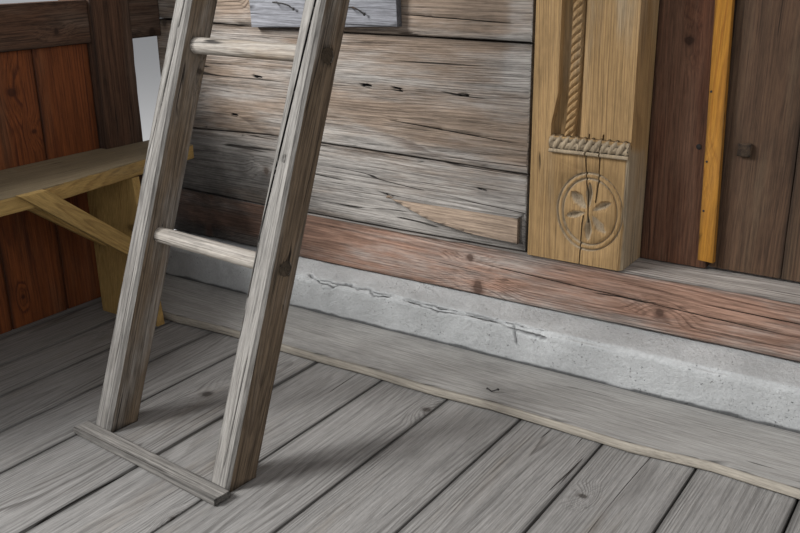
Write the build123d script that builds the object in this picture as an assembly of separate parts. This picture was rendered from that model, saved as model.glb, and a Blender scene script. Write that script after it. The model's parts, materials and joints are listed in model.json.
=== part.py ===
from build123d import *
import math
import os

os.makedirs("parts", exist_ok=True)

# Entrance porch of a log church. Millimetres. X runs along the log wall, Y into the
# church and Z up. X = 0 is the middle of the doorway, Y = 0 the log wall's outer face,
# Z = 0 the ground.

# Deck
JOIST_H = 150.0
JOIST_W = 100.0
PLANK_T = 45.0
FLOOR = JOIST_H + PLANK_T
PORCH_DEPTH = 1750.0
PLANK_NOSE = 20.0
PLANK_GAP = 4.0
WIDE_GAP = 9.0
PLANK_WIDTHS = [207.0, 207.0, 220.0, 240.0, 170.0, 171.0, 171.0, 170.0]
MIDDLE_PLANKS = 6
MIDDLE_HALF = 646.0

# Plinth
PLINTH_UP = 140.0
PLINTH_TOP = FLOOR + PLINTH_UP
PLINTH_FALL = 4.0
PLINTH_EASE = 12.0
PLINTH_FACE = -129.0
PLINTH_BACK = 220.0

# Log wall
WALL_T = 180.0
PARAPET_IN = 2232.0
WALL_PAST = 8.0
WALL_HALF = PARAPET_IN + WALL_PAST
SILL_UP = 297.0
SILL_TOP = FLOOR + SILL_UP
COURSE_HEIGHTS = [221.0, 349.0, 333.0, 320.0, 320.0, 230.0]
FAR_RISE = [11.0, 8.0, 24.0, 15.0, 18.0, 10.0, 0.0]
MID_RISE = [0.0, 21.0, 8.0, 19.0, 5.0, 12.0, 0.0]
MID_X = -1750.0
ARRIS = 4.0
LOG_GAP = 12.0
PLATE_H = 340.0
PLATE_PAST = 38.0

# Carved portal
POST_OUT = 818.0
POST_IN = 546.0
POST_FACE = -10.0
STRIP_W = 71.0
BAND_AT = 56.0
SPREAD_LOW = 30.0
SPREAD_HIGH = 110.0
PANEL_AT = 132.0
PANEL_DEPTH = 6.0
COVE_W = 20.0
COVE_DEPTH = 14.0
CHANNEL_DEPTH = 26.0
BEAD_AT = 109.0
BEAD_W = 34.0
BEAD_RISE = 20.0
ROPE_PITCH = 21.5
ROPE_LEAN = 0.65
ROPE_GROOVE = 0.42
ROPE_BEND = 9.0
ROPE_BEND_UP = 170.0
LIP_LOW = 297.0
LIP_H = 10.0
LIP_OUT = 12.0
BAND_H = 22.0
BAND_PITCH = 17.5
BAND_RISE = 11.0
BAND_LEAN = 0.4
UPPER_LIP_H = 11.0
UPPER_LIP_OUT = 7.0
ARRIS_WEAR_LOW = 12.0
ARRIS_WEAR_HIGH = 4.0
ROSE_AT = 173.5
ROSE_UP = 146.5
ROSE_HALF_W = 94.5
ROSE_HALF_H = 109.0
RING_SIDES = 36
GROOVE_W = 9.0
GROOVE_DEPTH = 5.0
RING_STEP = 15.0
PETAL_TURNS = [29.0, 92.0, 137.0, 196.0, 270.0, 311.0]
PETAL_HALF_W = [15.0, 11.0, 20.0, 12.0, 13.0, 19.0]
PETAL_SHAPE = [(0.25, 0.55), (0.58, 1.0), (0.86, 0.6)]
PETAL_DEPTH = 11.0
PETAL_NEAR = 5.0
PETAL_INSET = 26.0
# Cracks, as paths from the rosette's middle
FOOT_CRACK = [(-20.0, -ROSE_UP - 1), (-18.0, -33.0), (-15.0, -10.0)]
LONG_CRACK = [(-3.0, -30.0), (-3.0, 3.0), (-17.0, 137.0), (-13.0, 205.0)]
SHORT_CRACK = [(16.0, 28.0), (21.0, 82.0), (21.0, 142.0), (25.0, 207.0)]
CRACK_W = 4.0
CRACK_DEPTH = 22.0

# Door and its surround
DOOR_FACE = 126.0
BOARD_T = 45.0
LEAF_HALF = 367.0
DOOR_CLEAR = 5.0
DOOR_BOARDS = 4
LEDGE_H = 110.0
LEDGE_T = 30.0
LEDGE_INSET = 34.0
LEDGE_AT = 120.0
HINGE_AT = 330.0
STRIP_LOW = 28.0
COVER_W = 42.0
COVER_T = 22.0
COVER_LEAN = 0.028
COVER_LAP = 24.0
PEG_X = -301.0
PEG_UP = 621.0
PEG_W = 34.0
PEG_OUT = 14.0
STRAP_T = 6.0
STRAP_H = 40.0
STRAP_L = 520.0
PIN_R = 8.0
EYE_WALL = 8.0
PIN_CLEAR = 0.05
PIN_PAST = 8.0
HEAD_WALL = 3.0
STRAP_CLEAR = 0.4
PINTLE_H = 26.0
PINTLE_FOOT = 55.0
PINTLE_L = 95.0

# Parapets, posts and roof plates
PARAPET_T = 35.0
PARAPET_BOARDS = 7
FRAME_POST = 160.0
FRAME_IN = PARAPET_IN - 30.0
FRAME_OUT = FRAME_IN + FRAME_POST
RAIL_UP = 835.0
RAIL_LOW = FLOOR + RAIL_UP
RAIL_H = 133.0
RAIL_W = 90.0
RAIL_IN = PARAPET_IN - 20.0
FOOT_RAIL_H = 120.0
FOOT_RAIL_W = 60.0
ROOF_PLATE_H = 160.0

# Benches
SEAT_UP = 500.0
SEAT_TOP = FLOOR + SEAT_UP
SEAT_T = 48.0
SEAT_W = 310.0
SEAT_END_W = 224.0
SEAT_END = -92.0
SEAT_TAPER_AT = -740.0
SEAT_FRONT = -1640.0
LEG_T = 30.0
LEG_FOOT_Y = -440.0
LEG_TOP_Y = -392.0
LEG_FOOT_BACK = 105.0
LEG_FOOT_FRONT = 365.0
LEG_TOP_BACK = 32.0
LEG_TOP_FRONT = 262.0
BRACE_T = 26.0
BRACE_W = 66.0
BRACE_FALL = 0.78
FRONT_BRACE_TOP = -823.0
FRONT_BRACE_L = 440.0
REAR_BRACE_TOP = -744.0
REAR_BRACE_W = 50.0
REAR_BRACE_IN = 113.0

# Ladder
LADDER_TURN = -4.6
STILE_W = 62.0
STILE_D = 95.0
STILE_CLEAR = 364.0
STILE_ARRIS = 8.0
LADDER_X = -1516.0
LADDER_Y = -970.0
LADDER_RISE = 2600.0
LADDER_TOP = FLOOR + LADDER_RISE
RUNG_R = 20.0
TENON_R = 17.0
RUNG_FIT = 0.15
RUNG_FIRST = 453.5
RUNG_STEP = 436.0
RUNGS = 5
STOP_D = 46.0
STOP_T = 18.0
STOP_PAST_LEFT = 11.0
STOP_PAST_RIGHT = 15.0

# Small pieces on the wall
WEDGE_LEFT = -1285.0
WEDGE_RIGHT = -842.0
WEDGE_UP = 403.0
WEDGE_DEPTHS = [0.0, 51.0, 72.0, 78.0]
WEDGE_OUT = 28.0
PATCH_X = -1777.0
PATCH_UP = 878.0
PATCH_L = 545.0
PATCH_H = 200.0
PATCH_T = 25.0
PATCH_TILT = 2.0
WALL_BOARD_W = 250.0
WALL_BOARD_T = 28.0
WEAR = 14.0

EAVES = SILL_TOP + sum(COURSE_HEIGHTS) + PLATE_H
LINTEL_LOW = SILL_TOP + sum(COURSE_HEIGHTS[:-1])
LINTEL_TOP = LINTEL_LOW + COURSE_HEIGHTS[-1]
BACK_POST_BACK = PLINTH_FACE
BACK_POST_FRONT = BACK_POST_BACK - FRAME_POST
PORCH_FRONT = PLINTH_FACE - PORCH_DEPTH
FRONT_POST_BACK = PORCH_FRONT + FRAME_POST
WALL_PLATE_HALF = FRAME_OUT + PLATE_PAST
LOG_END = -POST_OUT - LOG_GAP


def box(x0, x1, y0, y1, z0, z1):
    size = Box(abs(x1 - x0), abs(y1 - y0), abs(z1 - z0))
    return Pos((x0 + x1) / 2, (y0 + y1) / 2, (z0 + z1) / 2) * size


def prism_y(outline, y0, y1):
    face = Face(Wire.make_polygon([(x, y0, z) for x, z in outline], close=True))
    return extrude(face, amount=y1 - y0, dir=(0, 1, 0))


def prism_x(outline, x0, x1):
    face = Face(Wire.make_polygon([(x0, y, z) for y, z in outline], close=True))
    return extrude(face, amount=x1 - x0, dir=(1, 0, 0))


def prism_z(outline, z0, z1):
    face = Face(Wire.make_polygon([(x, y, z0) for x, y in outline], close=True))
    return extrude(face, amount=z1 - z0, dir=(0, 0, 1))


def faceted(facets):
    return Solid(Shell([Face(Wire.make_polygon(f, close=True)) for f in facets]))


def mirrored(shape):
    return mirror(shape, about=Plane.YZ)


def save(name, pieces):
    solids = []
    for piece in pieces:
        solids += piece.solids()
    export_step(solids[0] if len(solids) == 1 else Compound(solids), "parts/" + name + ".step")
    print(name, len(solids), "solids")


def save_pair(name, pieces):
    save(name + "_left", pieces)
    save(name + "_right", [mirrored(p) for p in pieces])


def wave(k, size):
    return size * math.sin(2.3 * k + 0.7)


# Masonry plinth: its rendered top falls towards the front.
def plinth():
    outline = [(PLINTH_BACK, 0), (PLINTH_BACK, PLINTH_TOP), (0, PLINTH_TOP)]
    edge = PLINTH_TOP - PLINTH_FALL
    outline += [(PLINTH_FACE + PLINTH_EASE, edge), (PLINTH_FACE, edge - PLINTH_EASE), (PLINTH_FACE, 0)]
    return prism_x(outline, -WALL_HALF, WALL_HALF)


# Deck: side sills carry the posts, joists run between them, planks lie across the joists.
def side_sill():
    return box(-FRAME_OUT, -FRAME_IN, PORCH_FRONT, PLINTH_FACE, 0, JOIST_H)


def joists():
    fronts = [PORCH_FRONT, (PORCH_FRONT + PLINTH_FACE - JOIST_W) / 2, PLINTH_FACE - JOIST_W]
    return [box(-FRAME_IN, FRAME_IN, y, y + JOIST_W, 0, JOIST_H) for y in fronts]


def plank(x0, x1, k):
    nose = PORCH_FRONT - PLANK_NOSE + wave(k, 5)
    return box(x0, x1, nose, PLINTH_FACE, JOIST_H, FLOOR)


def side_planks():
    planks = []
    edge = -MIDDLE_HALF
    for k, width in enumerate(PLANK_WIDTHS):
        gap = WIDE_GAP if k == 3 else PLANK_GAP
        end = max(edge - width, -FRAME_IN) if k < len(PLANK_WIDTHS) - 1 else -FRAME_IN
        planks.append(plank(end, edge - gap, k))
        edge = end
    return planks


def middle_planks():
    width = 2 * MIDDLE_HALF / MIDDLE_PLANKS
    starts = [-MIDDLE_HALF + k * width for k in range(MIDDLE_PLANKS)]
    return [plank(x, x + width - PLANK_GAP, k + 1) for k, x in enumerate(starts)]


def edge_plank():
    return box(-FRAME_OUT, -FRAME_IN, FRONT_POST_BACK, BACK_POST_FRONT, JOIST_H, FLOOR)


# Board lying on the planks along the plinth, its front edge worn into waves.
def wall_board():
    count = 24
    step = 2 * FRAME_IN / count
    front = PLINTH_FACE - WALL_BOARD_W
    edge = [(-FRAME_IN + k * step, front + wave(k, WEAR) * (k % 3) / 2) for k in range(count + 1)]
    outline = edge + [(FRAME_IN, PLINTH_FACE), (-FRAME_IN, PLINTH_FACE)]
    return prism_z(outline, FLOOR, FLOOR + WALL_BOARD_T)


# Hewn logs: each joint bends a little where the two logs were fitted to each other.
def joint(course):
    z = SILL_TOP + sum(COURSE_HEIGHTS[:course])
    return [(-WALL_HALF, z + FAR_RISE[course]), (MID_X, z + MID_RISE[course]), (LOG_END, z)]


def ease(shape, size=ARRIS):
    front = shape.edges().filter_by_position(Axis.Y, -0.01, 0.01)
    return chamfer(front, size)


def log(course):
    below = joint(course)
    above = joint(course + 1)
    return ease(prism_y(below + above[::-1], 0, WALL_T))


# The lowest left log keeps a wedge of wood where the rest of its face was hewn away.
def first_log_left():
    top = FLOOR + WEDGE_UP
    step = (WEDGE_RIGHT - WEDGE_LEFT) / (len(WEDGE_DEPTHS) - 1)
    under = [(WEDGE_LEFT + k * step, top - depth) for k, depth in enumerate(WEDGE_DEPTHS)]
    return log(0) + prism_y(under + [(WEDGE_RIGHT, top)], -WEDGE_OUT, ARRIS)


def sill():
    left = joint(0)
    right = [(-x, z) for x, z in left[::-1]]
    outline = left + right + [(WALL_HALF, PLINTH_TOP), (-WALL_HALF, PLINTH_TOP)]
    return ease(prism_y(outline, 0, WALL_T))


def wall_plate():
    return ease(box(-WALL_PLATE_HALF, WALL_PLATE_HALF, 0, WALL_T, LINTEL_TOP, EAVES))


def patch_board():
    board = box(0, PATCH_L, -PATCH_T, 0, 0, PATCH_H)
    return Pos(PATCH_X, 0, FLOOR + PATCH_UP) * Rot(0, -PATCH_TILT, 0) * board


# A half-round bead carved as a twisted rope. It runs along Z, bulges towards -Y and
# has its flat back at Y = EMBED, inside the wood it is carved from.
EMBED = 3.0


def rope(length, width, rise, pitch, leaning, bend=0.0):
    across = [-1.0, -0.5, 0.0, 0.5, 1.0]
    profile = [(0.0, 1.0 - ROPE_GROOVE), (0.33, 0.97), (0.67, 0.97)]
    lean = leaning * width
    first = -lean - pitch
    turns = int((length + 2 * lean) / pitch) + 3
    rows = []
    for turn in range(turns):
        for part, swell in profile:
            z = first + (turn + part) * pitch
            shift = -bend * max(0.0, 1.0 - max(z, 0.0) / ROPE_BEND_UP) ** 2
            row = [(shift - width / 2, EMBED, z - lean)]
            for t in across:
                x = shift + width / 2 * math.sin(math.pi / 2 * t)
                y = -rise * swell * math.cos(math.pi / 2 * t * 0.86)
                row.append((x, y, z + lean * t))
            row.append((shift + width / 2, EMBED, z + lean))
            rows.append(row)
    facets = []
    for a, b in zip(rows[:-1], rows[1:]):
        for k in range(len(a) - 1):
            facets.append([a[k], a[k + 1], b[k + 1]])
            facets.append([a[k], b[k + 1], b[k]])
        facets.append([a[0], b[0], b[-1]])
        facets.append([a[0], b[-1], a[-1]])
    for row in (rows[0], rows[-1]):
        for k in range(1, len(row) - 1):
            facets.append([row[0], row[k], row[k + 1]])
    bead = faceted(facets)
    return bead & box(-width, width, -2 * rise, EMBED + 1, 0, length)


def ring_cutter(half_w, half_h, grow):
    return [
        ((half_w + grow) * math.cos(a), (half_h + grow) * math.sin(a))
        for a in [2 * math.pi * k / RING_SIDES for k in range(RING_SIDES)]
    ]


def bowl(half_w, half_h, top_grow, low_grow, depth):
    over = 1.0
    top_grow += (top_grow - low_grow) * over / depth
    top = ring_cutter(half_w, half_h, top_grow)
    low = ring_cutter(half_w, half_h, low_grow)
    top = [(x, -over, z) for x, z in top]
    low = [(x, depth, z) for x, z in low]
    faces = [top, low]
    for k in range(RING_SIDES):
        n = (k + 1) % RING_SIDES
        faces.append([top[k], top[n], low[n]])
        faces.append([top[k], low[n], low[k]])
    return faceted(faces)


def ring_groove(half_w, half_h):
    outer = bowl(half_w, half_h, 0, -GROOVE_W / 2, GROOVE_DEPTH)
    inner = bowl(half_w, half_h, -GROOVE_W, -GROOVE_W / 2, GROOVE_DEPTH)
    return outer - inner


# One petal: a leaf-shaped V cut that points from the centre to the ring.
def petal(length, half_w):
    over = 1.0
    span = length - PETAL_NEAR
    near = (PETAL_NEAR - over, -over, 0)
    tip = (length + over, -over, 0)
    upper, lower, valley = [near], [near], [near]
    for share, size in PETAL_SHAPE:
        at = PETAL_NEAR + share * span
        deep = PETAL_DEPTH * size
        side = half_w / PETAL_DEPTH * (deep + over)
        upper.append((at, -over, side))
        lower.append((at, -over, -side))
        valley.append((at, deep, 0))
    upper.append(tip)
    lower.append(tip)
    valley.append(tip)
    faces = [upper + lower[-2:0:-1]]
    for k in range(len(valley) - 1):
        for edge in (upper, lower):
            corners = [edge[k], edge[k + 1], valley[k + 1], valley[k]]
            faces.append([c for n, c in enumerate(corners) if c not in corners[:n]])
    return faceted(faces)


def rosette(shape, x, z):
    at = Pos(x, POST_FACE, z)
    shape -= at * ring_groove(ROSE_HALF_W, ROSE_HALF_H)
    shape -= at * ring_groove(ROSE_HALF_W - RING_STEP, ROSE_HALF_H - RING_STEP)
    for turn, half_w in zip(PETAL_TURNS, PETAL_HALF_W):
        a = math.radians(turn)
        across = math.cos(a) / (ROSE_HALF_W - PETAL_INSET)
        up = math.sin(a) / (ROSE_HALF_H - PETAL_INSET)
        shape -= at * Rot(0, -turn, 0) * petal(1 / math.hypot(across, up), half_w)
    return shape


# The worn inner arris of the base block: a cut that widens towards the foot.
def arris_wear(x, z_low, z_high):
    over = 1.0
    low, high = [], []
    for ring, z, size in ((low, z_low, ARRIS_WEAR_LOW), (high, z_high, ARRIS_WEAR_HIGH)):
        front = POST_FACE - over
        ring += [(x - size, front, z), (x + over, front, z), (x + over, POST_FACE + size, z)]
    sides = [[low[k], low[(k + 1) % 3], high[(k + 1) % 3]] for k in range(3)]
    sides += [[low[k], high[(k + 1) % 3], high[k]] for k in range(3)]
    return faceted([low, high] + sides)


def crack(path, rose, rose_z):
    left = [(rose + x - CRACK_W / 2, rose_z + z) for x, z in path]
    right = [(rose + x + CRACK_W / 2, rose_z + z) for x, z in path[::-1]]
    return prism_y(left + right, POST_FACE - 2 * BAND_RISE, POST_FACE + CRACK_DEPTH)


# The recess above the band: its outer wall spreads near the foot, a cove leads to the panel.
def channel(out, low, high):
    outline = [
        (out + BAND_AT, low), (out + BAND_AT, low + SPREAD_LOW), (out + STRIP_W, low + SPREAD_HIGH),
        (out + STRIP_W, high), (out + PANEL_AT, high), (out + PANEL_AT, low),
    ]
    cut = prism_y(outline, POST_FACE - 1, POST_FACE + CHANNEL_DEPTH)
    cove = [
        (out + PANEL_AT, POST_FACE - 1), (out + PANEL_AT, POST_FACE + COVE_DEPTH),
        (out + PANEL_AT + COVE_W, POST_FACE + PANEL_DEPTH), (1 - POST_IN, POST_FACE + PANEL_DEPTH),
        (1 - POST_IN, POST_FACE - 1),
    ]
    return cut + prism_z(cove, low, high)


def portal_post():
    out = -POST_OUT
    lip_z = SILL_TOP + LIP_LOW
    band_z = lip_z + LIP_H
    upper_z = band_z + BAND_H
    carve_z = upper_z + UPPER_LIP_H
    band_w = POST_OUT - POST_IN - BAND_AT
    post = box(out, -POST_IN, POST_FACE, WALL_T, SILL_TOP, LINTEL_LOW)
    post -= channel(out, carve_z, LINTEL_LOW + 1)
    bead = rope(LINTEL_LOW - carve_z, BEAD_W, BEAD_RISE, ROPE_PITCH, ROPE_LEAN, ROPE_BEND)
    post += Pos(out + BEAD_AT, POST_FACE + CHANNEL_DEPTH, carve_z) * bead
    band = mirrored(rope(band_w, BAND_H, BAND_RISE, BAND_PITCH, BAND_LEAN))
    post += Pos(out + BAND_AT, POST_FACE, band_z + BAND_H / 2) * Rot(0, 90, 0) * band
    post += box(out + BAND_AT, -POST_IN, POST_FACE - UPPER_LIP_OUT, POST_FACE + 2, upper_z, carve_z)
    lip = box(out + BAND_AT, -POST_IN, POST_FACE - LIP_OUT, POST_FACE + 2, lip_z, band_z)
    lip = chamfer(lip.edges().filter_by(Axis.X).group_by(Axis.Y)[0], 3)
    post += lip
    post -= arris_wear(-POST_IN, SILL_TOP - 1, lip_z)
    rose = out + ROSE_AT
    rose_z = SILL_TOP + ROSE_UP
    post = rosette(post, rose, rose_z)
    for path in (FOOT_CRACK, LONG_CRACK, SHORT_CRACK):
        post -= crack(path, rose, rose_z)
    return post


def lintel():
    beam = box(-POST_OUT, POST_OUT, POST_FACE, WALL_T, LINTEL_LOW, LINTEL_TOP)
    edge = beam.edges().filter_by(Axis.X).group_by(Axis.Y)[0]
    return chamfer(edge, 10)


# Door leaf: boards with ledges and strap hinges on the inner side.
LEAF_FACE = DOOR_FACE + DOOR_CLEAR
LEAF_BACK = LEAF_FACE + BOARD_T
LEAF_LOW = SILL_TOP + DOOR_CLEAR
LEAF_TOP = LINTEL_LOW - DOOR_CLEAR
LEAF_EDGE = LEAF_HALF - DOOR_CLEAR
EYE_R = PIN_R + PIN_CLEAR + EYE_WALL
PIVOT_X = LEAF_HALF + DOOR_CLEAR
PIVOT_Y = LEAF_BACK + EYE_R
HINGE_LEVELS = [LEAF_LOW + HINGE_AT, LEAF_TOP - HINGE_AT]


def door_boards():
    width = 2 * LEAF_EDGE / DOOR_BOARDS
    starts = [-LEAF_EDGE + k * width for k in range(DOOR_BOARDS)]
    return [box(x, x + width, LEAF_FACE, LEAF_BACK, LEAF_LOW, LEAF_TOP) for x in starts]


def door_ledges():
    levels = [LEAF_LOW + LEDGE_AT, (LEAF_LOW + LEAF_TOP - LEDGE_H) / 2, LEAF_TOP - LEDGE_AT - LEDGE_H]
    edge = LEAF_EDGE - LEDGE_INSET
    return [box(-edge, edge, LEAF_BACK, LEAF_BACK + LEDGE_T, z, z + LEDGE_H) for z in levels]


def door_straps():
    straps = []
    for z in HINGE_LEVELS:
        eye = Pos(PIVOT_X, PIVOT_Y, z) * Cylinder(EYE_R, STRAP_H)
        low = z - STRAP_H / 2
        plate = box(PIVOT_X - STRAP_L, PIVOT_X, LEAF_BACK, LEAF_BACK + STRAP_T, low, low + STRAP_H)
        hole = Pos(PIVOT_X, PIVOT_Y, z) * Cylinder(PIN_R + PIN_CLEAR, STRAP_H + 2)
        straps.append(eye + plate - hole)
    return straps


def hinge_pintles():
    pintles = []
    jamb_back = DOOR_FACE + BOARD_T
    for z in HINGE_LEVELS:
        top = z - STRAP_H / 2 - STRAP_CLEAR
        arm = box(PIVOT_X, PIVOT_X + PINTLE_L, PIVOT_Y - PIN_R, PIVOT_Y + PIN_R, top - PINTLE_H, top)
        end = PIVOT_X + PINTLE_L
        foot = box(end - PINTLE_FOOT, end, jamb_back, PIVOT_Y, top - PINTLE_H, top)
        head = Pos(PIVOT_X, PIVOT_Y, top - PINTLE_H / 2) * Cylinder(PIN_R + HEAD_WALL, PINTLE_H)
        pin_low = top - PINTLE_H / 2
        pin_top = z + STRAP_H / 2 + PIN_PAST
        pin = Pos(PIVOT_X, PIVOT_Y, (pin_low + pin_top) / 2) * Cylinder(PIN_R, pin_top - pin_low)
        pintles.append(arm + foot + head + pin)
    return pintles


def door_peg():
    half = PEG_W / 2
    z = FLOOR + PEG_UP
    return box(PEG_X - half, PEG_X + half, LEAF_FACE - PEG_OUT, LEAF_FACE, z - half, z + half)


def inner_jamb():
    return box(-POST_IN, -LEAF_HALF, DOOR_FACE, DOOR_FACE + BOARD_T, SILL_TOP, LINTEL_LOW)


def cover_strip():
    low = SILL_TOP + STRIP_LOW
    rise = LINTEL_LOW - low
    right = -LEAF_HALF + COVER_LAP
    lean = COVER_LEAN * rise
    left = right - COVER_W
    outline = [(left, low), (right, low - 3), (right - lean, LINTEL_LOW), (left - lean, LINTEL_LOW)]
    return prism_y(outline, DOOR_FACE - COVER_T, DOOR_FACE)


# Parapets
def back_post():
    return box(-FRAME_OUT, -FRAME_IN, BACK_POST_FRONT, BACK_POST_BACK, JOIST_H, EAVES)


def front_post():
    return box(-FRAME_OUT, -FRAME_IN, PORCH_FRONT, FRONT_POST_BACK, JOIST_H, EAVES)


def parapet_boards():
    width = (BACK_POST_FRONT - FRONT_POST_BACK) / PARAPET_BOARDS
    starts = [FRONT_POST_BACK + k * width for k in range(PARAPET_BOARDS)]
    outer = -PARAPET_IN - PARAPET_T
    return [box(outer, -PARAPET_IN, y + 1, y + width - 1, FLOOR, RAIL_LOW) for y in starts]


def rails():
    outer = -RAIL_IN - RAIL_W
    long_rail = box(outer, -RAIL_IN, FRONT_POST_BACK, BACK_POST_FRONT, RAIL_LOW, RAIL_LOW + RAIL_H)
    short_rail = box(outer, -RAIL_IN, BACK_POST_BACK, 0, RAIL_LOW, RAIL_LOW + RAIL_H)
    return [long_rail, short_rail]


def foot_rail():
    inner = -PARAPET_IN - PARAPET_T
    return box(inner - FOOT_RAIL_W, inner, FRONT_POST_BACK, BACK_POST_FRONT, FLOOR, FLOOR + FOOT_RAIL_H)


def side_plate():
    return box(-FRAME_OUT, -FRAME_IN, FRONT_POST_BACK, WALL_T, EAVES, EAVES + ROOF_PLATE_H)


def front_plate():
    return box(-WALL_PLATE_HALF, WALL_PLATE_HALF, PORCH_FRONT, FRONT_POST_BACK, EAVES, EAVES + ROOF_PLATE_H)


# Benches: a board on two leaning legs, its wall end narrower and notched round the post.
def bench_seat():
    edge = SEAT_W - PARAPET_IN
    end_edge = SEAT_END_W - PARAPET_IN
    outline = [(-PARAPET_IN, SEAT_FRONT), (edge, SEAT_FRONT), (edge, SEAT_TAPER_AT)]
    outline += [(end_edge, SEAT_END), (-PARAPET_IN, SEAT_END)]
    seat = prism_z(outline, SEAT_TOP - SEAT_T, SEAT_TOP)
    return seat - box(-PARAPET_IN - 1, -FRAME_IN, BACK_POST_FRONT, 0, 0, EAVES)


def bench_middle(shape):
    middle = (SEAT_END + SEAT_FRONT) / 2
    return mirror(shape, about=Plane.XZ.offset(-middle))


def leg_face(z):
    return LEG_FOOT_Y + (LEG_TOP_Y - LEG_FOOT_Y) * (z - FLOOR) / (SEAT_UP - SEAT_T)


def bench_leg():
    under = SEAT_TOP - SEAT_T
    foot = [(LEG_FOOT_BACK - PARAPET_IN, LEG_FOOT_Y, FLOOR)]
    foot.append((LEG_FOOT_FRONT - PARAPET_IN, LEG_FOOT_Y, FLOOR))
    top = [(LEG_TOP_FRONT - PARAPET_IN, LEG_TOP_Y, under), (LEG_TOP_BACK - PARAPET_IN, LEG_TOP_Y, under)]
    near = foot + top
    far = [(x, y + LEG_T, z) for x, y, z in near]
    sides = [[near[k - 1], near[k], far[k], far[k - 1]] for k in range(len(near))]
    return faceted([near, far] + sides)


# The front brace is nailed on the edges of the seat and of the leg, the rear one stands behind.
def front_brace():
    top = FRONT_BRACE_TOP
    drop = BRACE_FALL * FRONT_BRACE_L
    end = top + FRONT_BRACE_L
    outline = [(top, SEAT_TOP), (top + BRACE_W / BRACE_FALL, SEAT_TOP)]
    outline += [(end, SEAT_TOP - drop + BRACE_W), (end, SEAT_TOP - drop)]
    edge = SEAT_W - PARAPET_IN
    return prism_x(outline, edge, edge + BRACE_T)


def rear_brace():
    under = SEAT_TOP - SEAT_T
    low = under + (REAR_BRACE_TOP - leg_face(FLOOR)) * BRACE_FALL
    high = low + REAR_BRACE_W
    start = REAR_BRACE_TOP + REAR_BRACE_W / BRACE_FALL
    outline = [(REAR_BRACE_TOP, under), (start, under), (leg_face(high), high), (leg_face(low), low)]
    back = REAR_BRACE_IN - PARAPET_IN
    return prism_x(outline, back, back + BRACE_T)


def bench_legs():
    leg = bench_leg() - front_brace()
    return [leg, bench_middle(leg)]


def bench_braces():
    braces = [front_brace(), rear_brace()]
    return braces + [bench_middle(b) for b in braces]


# Ladder leaning on the wall plate. It is drawn square to the wall and then turned.
def ladder_slope():
    turn = math.radians(-LADDER_TURN)
    foot_back = LADDER_Y + STILE_D * math.cos(turn)
    return -foot_back / (EAVES - ARRIS - FLOOR) / math.cos(turn)


def ladder_place(shape):
    return Pos(LADDER_X, LADDER_Y, 0) * Rot(0, 0, LADDER_TURN) * shape


def stile(x):
    slope = ladder_slope()
    rise = LADDER_TOP - FLOOR
    outline = [(0, FLOOR), (STILE_D, FLOOR), (STILE_D + slope * rise, LADDER_TOP)]
    outline += [(slope * (rise + 30), LADDER_TOP + 30)]
    body = prism_x(outline, x, x + STILE_W)
    long_edges = [e for e in body.edges() if e.length > rise * 0.9]
    return chamfer(long_edges, STILE_ARRIS)


def rung_centre(k):
    up = RUNG_FIRST + k * RUNG_STEP
    return STILE_D / 2 + ladder_slope() * up, FLOOR + up


def ladder_stiles():
    stiles = []
    for x in (0, STILE_W + STILE_CLEAR):
        body = stile(x)
        for k in range(RUNGS):
            y, z = rung_centre(k)
            hole = Cylinder(TENON_R + RUNG_FIT, STILE_W + 4)
            body -= Pos(x + STILE_W / 2, y, z) * Rot(0, 90, 0) * hole
        stiles.append(ladder_place(body))
    return stiles


def ladder_rungs():
    rungs = []
    for k in range(RUNGS):
        y, z = rung_centre(k)
        middle = STILE_W + STILE_CLEAR / 2
        body = Cylinder(RUNG_R, STILE_CLEAR) + Cylinder(TENON_R, STILE_CLEAR + 2 * STILE_W)
        rungs.append(ladder_place(Pos(middle, y, z) * Rot(0, 90, 0) * body))
    return rungs


def ladder_stop():
    right = 2 * STILE_W + STILE_CLEAR + STOP_PAST_RIGHT
    return ladder_place(box(-STOP_PAST_LEFT, right, -STOP_D, 0, FLOOR, FLOOR + STOP_T))


def both(pieces):
    return pieces + [mirrored(p) for p in pieces]


save("masonry_plinth", [plinth()])
save("side_sills", both([side_sill()]))
save("deck_joists", joists())
save_pair("deck_planks", side_planks())
save("deck_planks_middle", middle_planks())
save("edge_planks", both([edge_plank()]))
save("deck_wall_board", [wall_board()])
save("sill_log", [sill()])
save("wall_logs_1", [first_log_left(), mirrored(log(0))])
for course in range(1, len(COURSE_HEIGHTS)):
    save("wall_logs_" + str(course + 1), both([log(course)]))
save("wall_plate", [wall_plate()])
save("patch_board", [patch_board()])
save_pair("portal_post", [portal_post()])
save("portal_lintel", [lintel()])
save("inner_jambs", both([inner_jamb()]))
save("door_boards", door_boards())
save("door_ledges", door_ledges())
save("door_straps", door_straps())
save("hinge_pintles", hinge_pintles())
save("door_peg", [door_peg()])
save("door_cover_strip", [cover_strip()])
save_pair("parapet_posts", [back_post(), front_post()])
save_pair("parapet_boards", parapet_boards())
save_pair("parapet_rails", rails() + [foot_rail()])
save("side_plates", both([side_plate()]))
save("front_plate", [front_plate()])
save_pair("bench_seat", [bench_seat()])
save_pair("bench_legs", bench_legs())
save_pair("bench_braces", bench_braces())
stiles = ladder_stiles()
save("ladder_stile_left", [stiles[0]])
save("ladder_stile_right", [stiles[1]])
save("ladder_rungs", ladder_rungs())
save("ladder_stop", [ladder_stop()])
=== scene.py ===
import bmesh
import bpy
import json
import math
from mathutils import Matrix, Vector, noise


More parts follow.
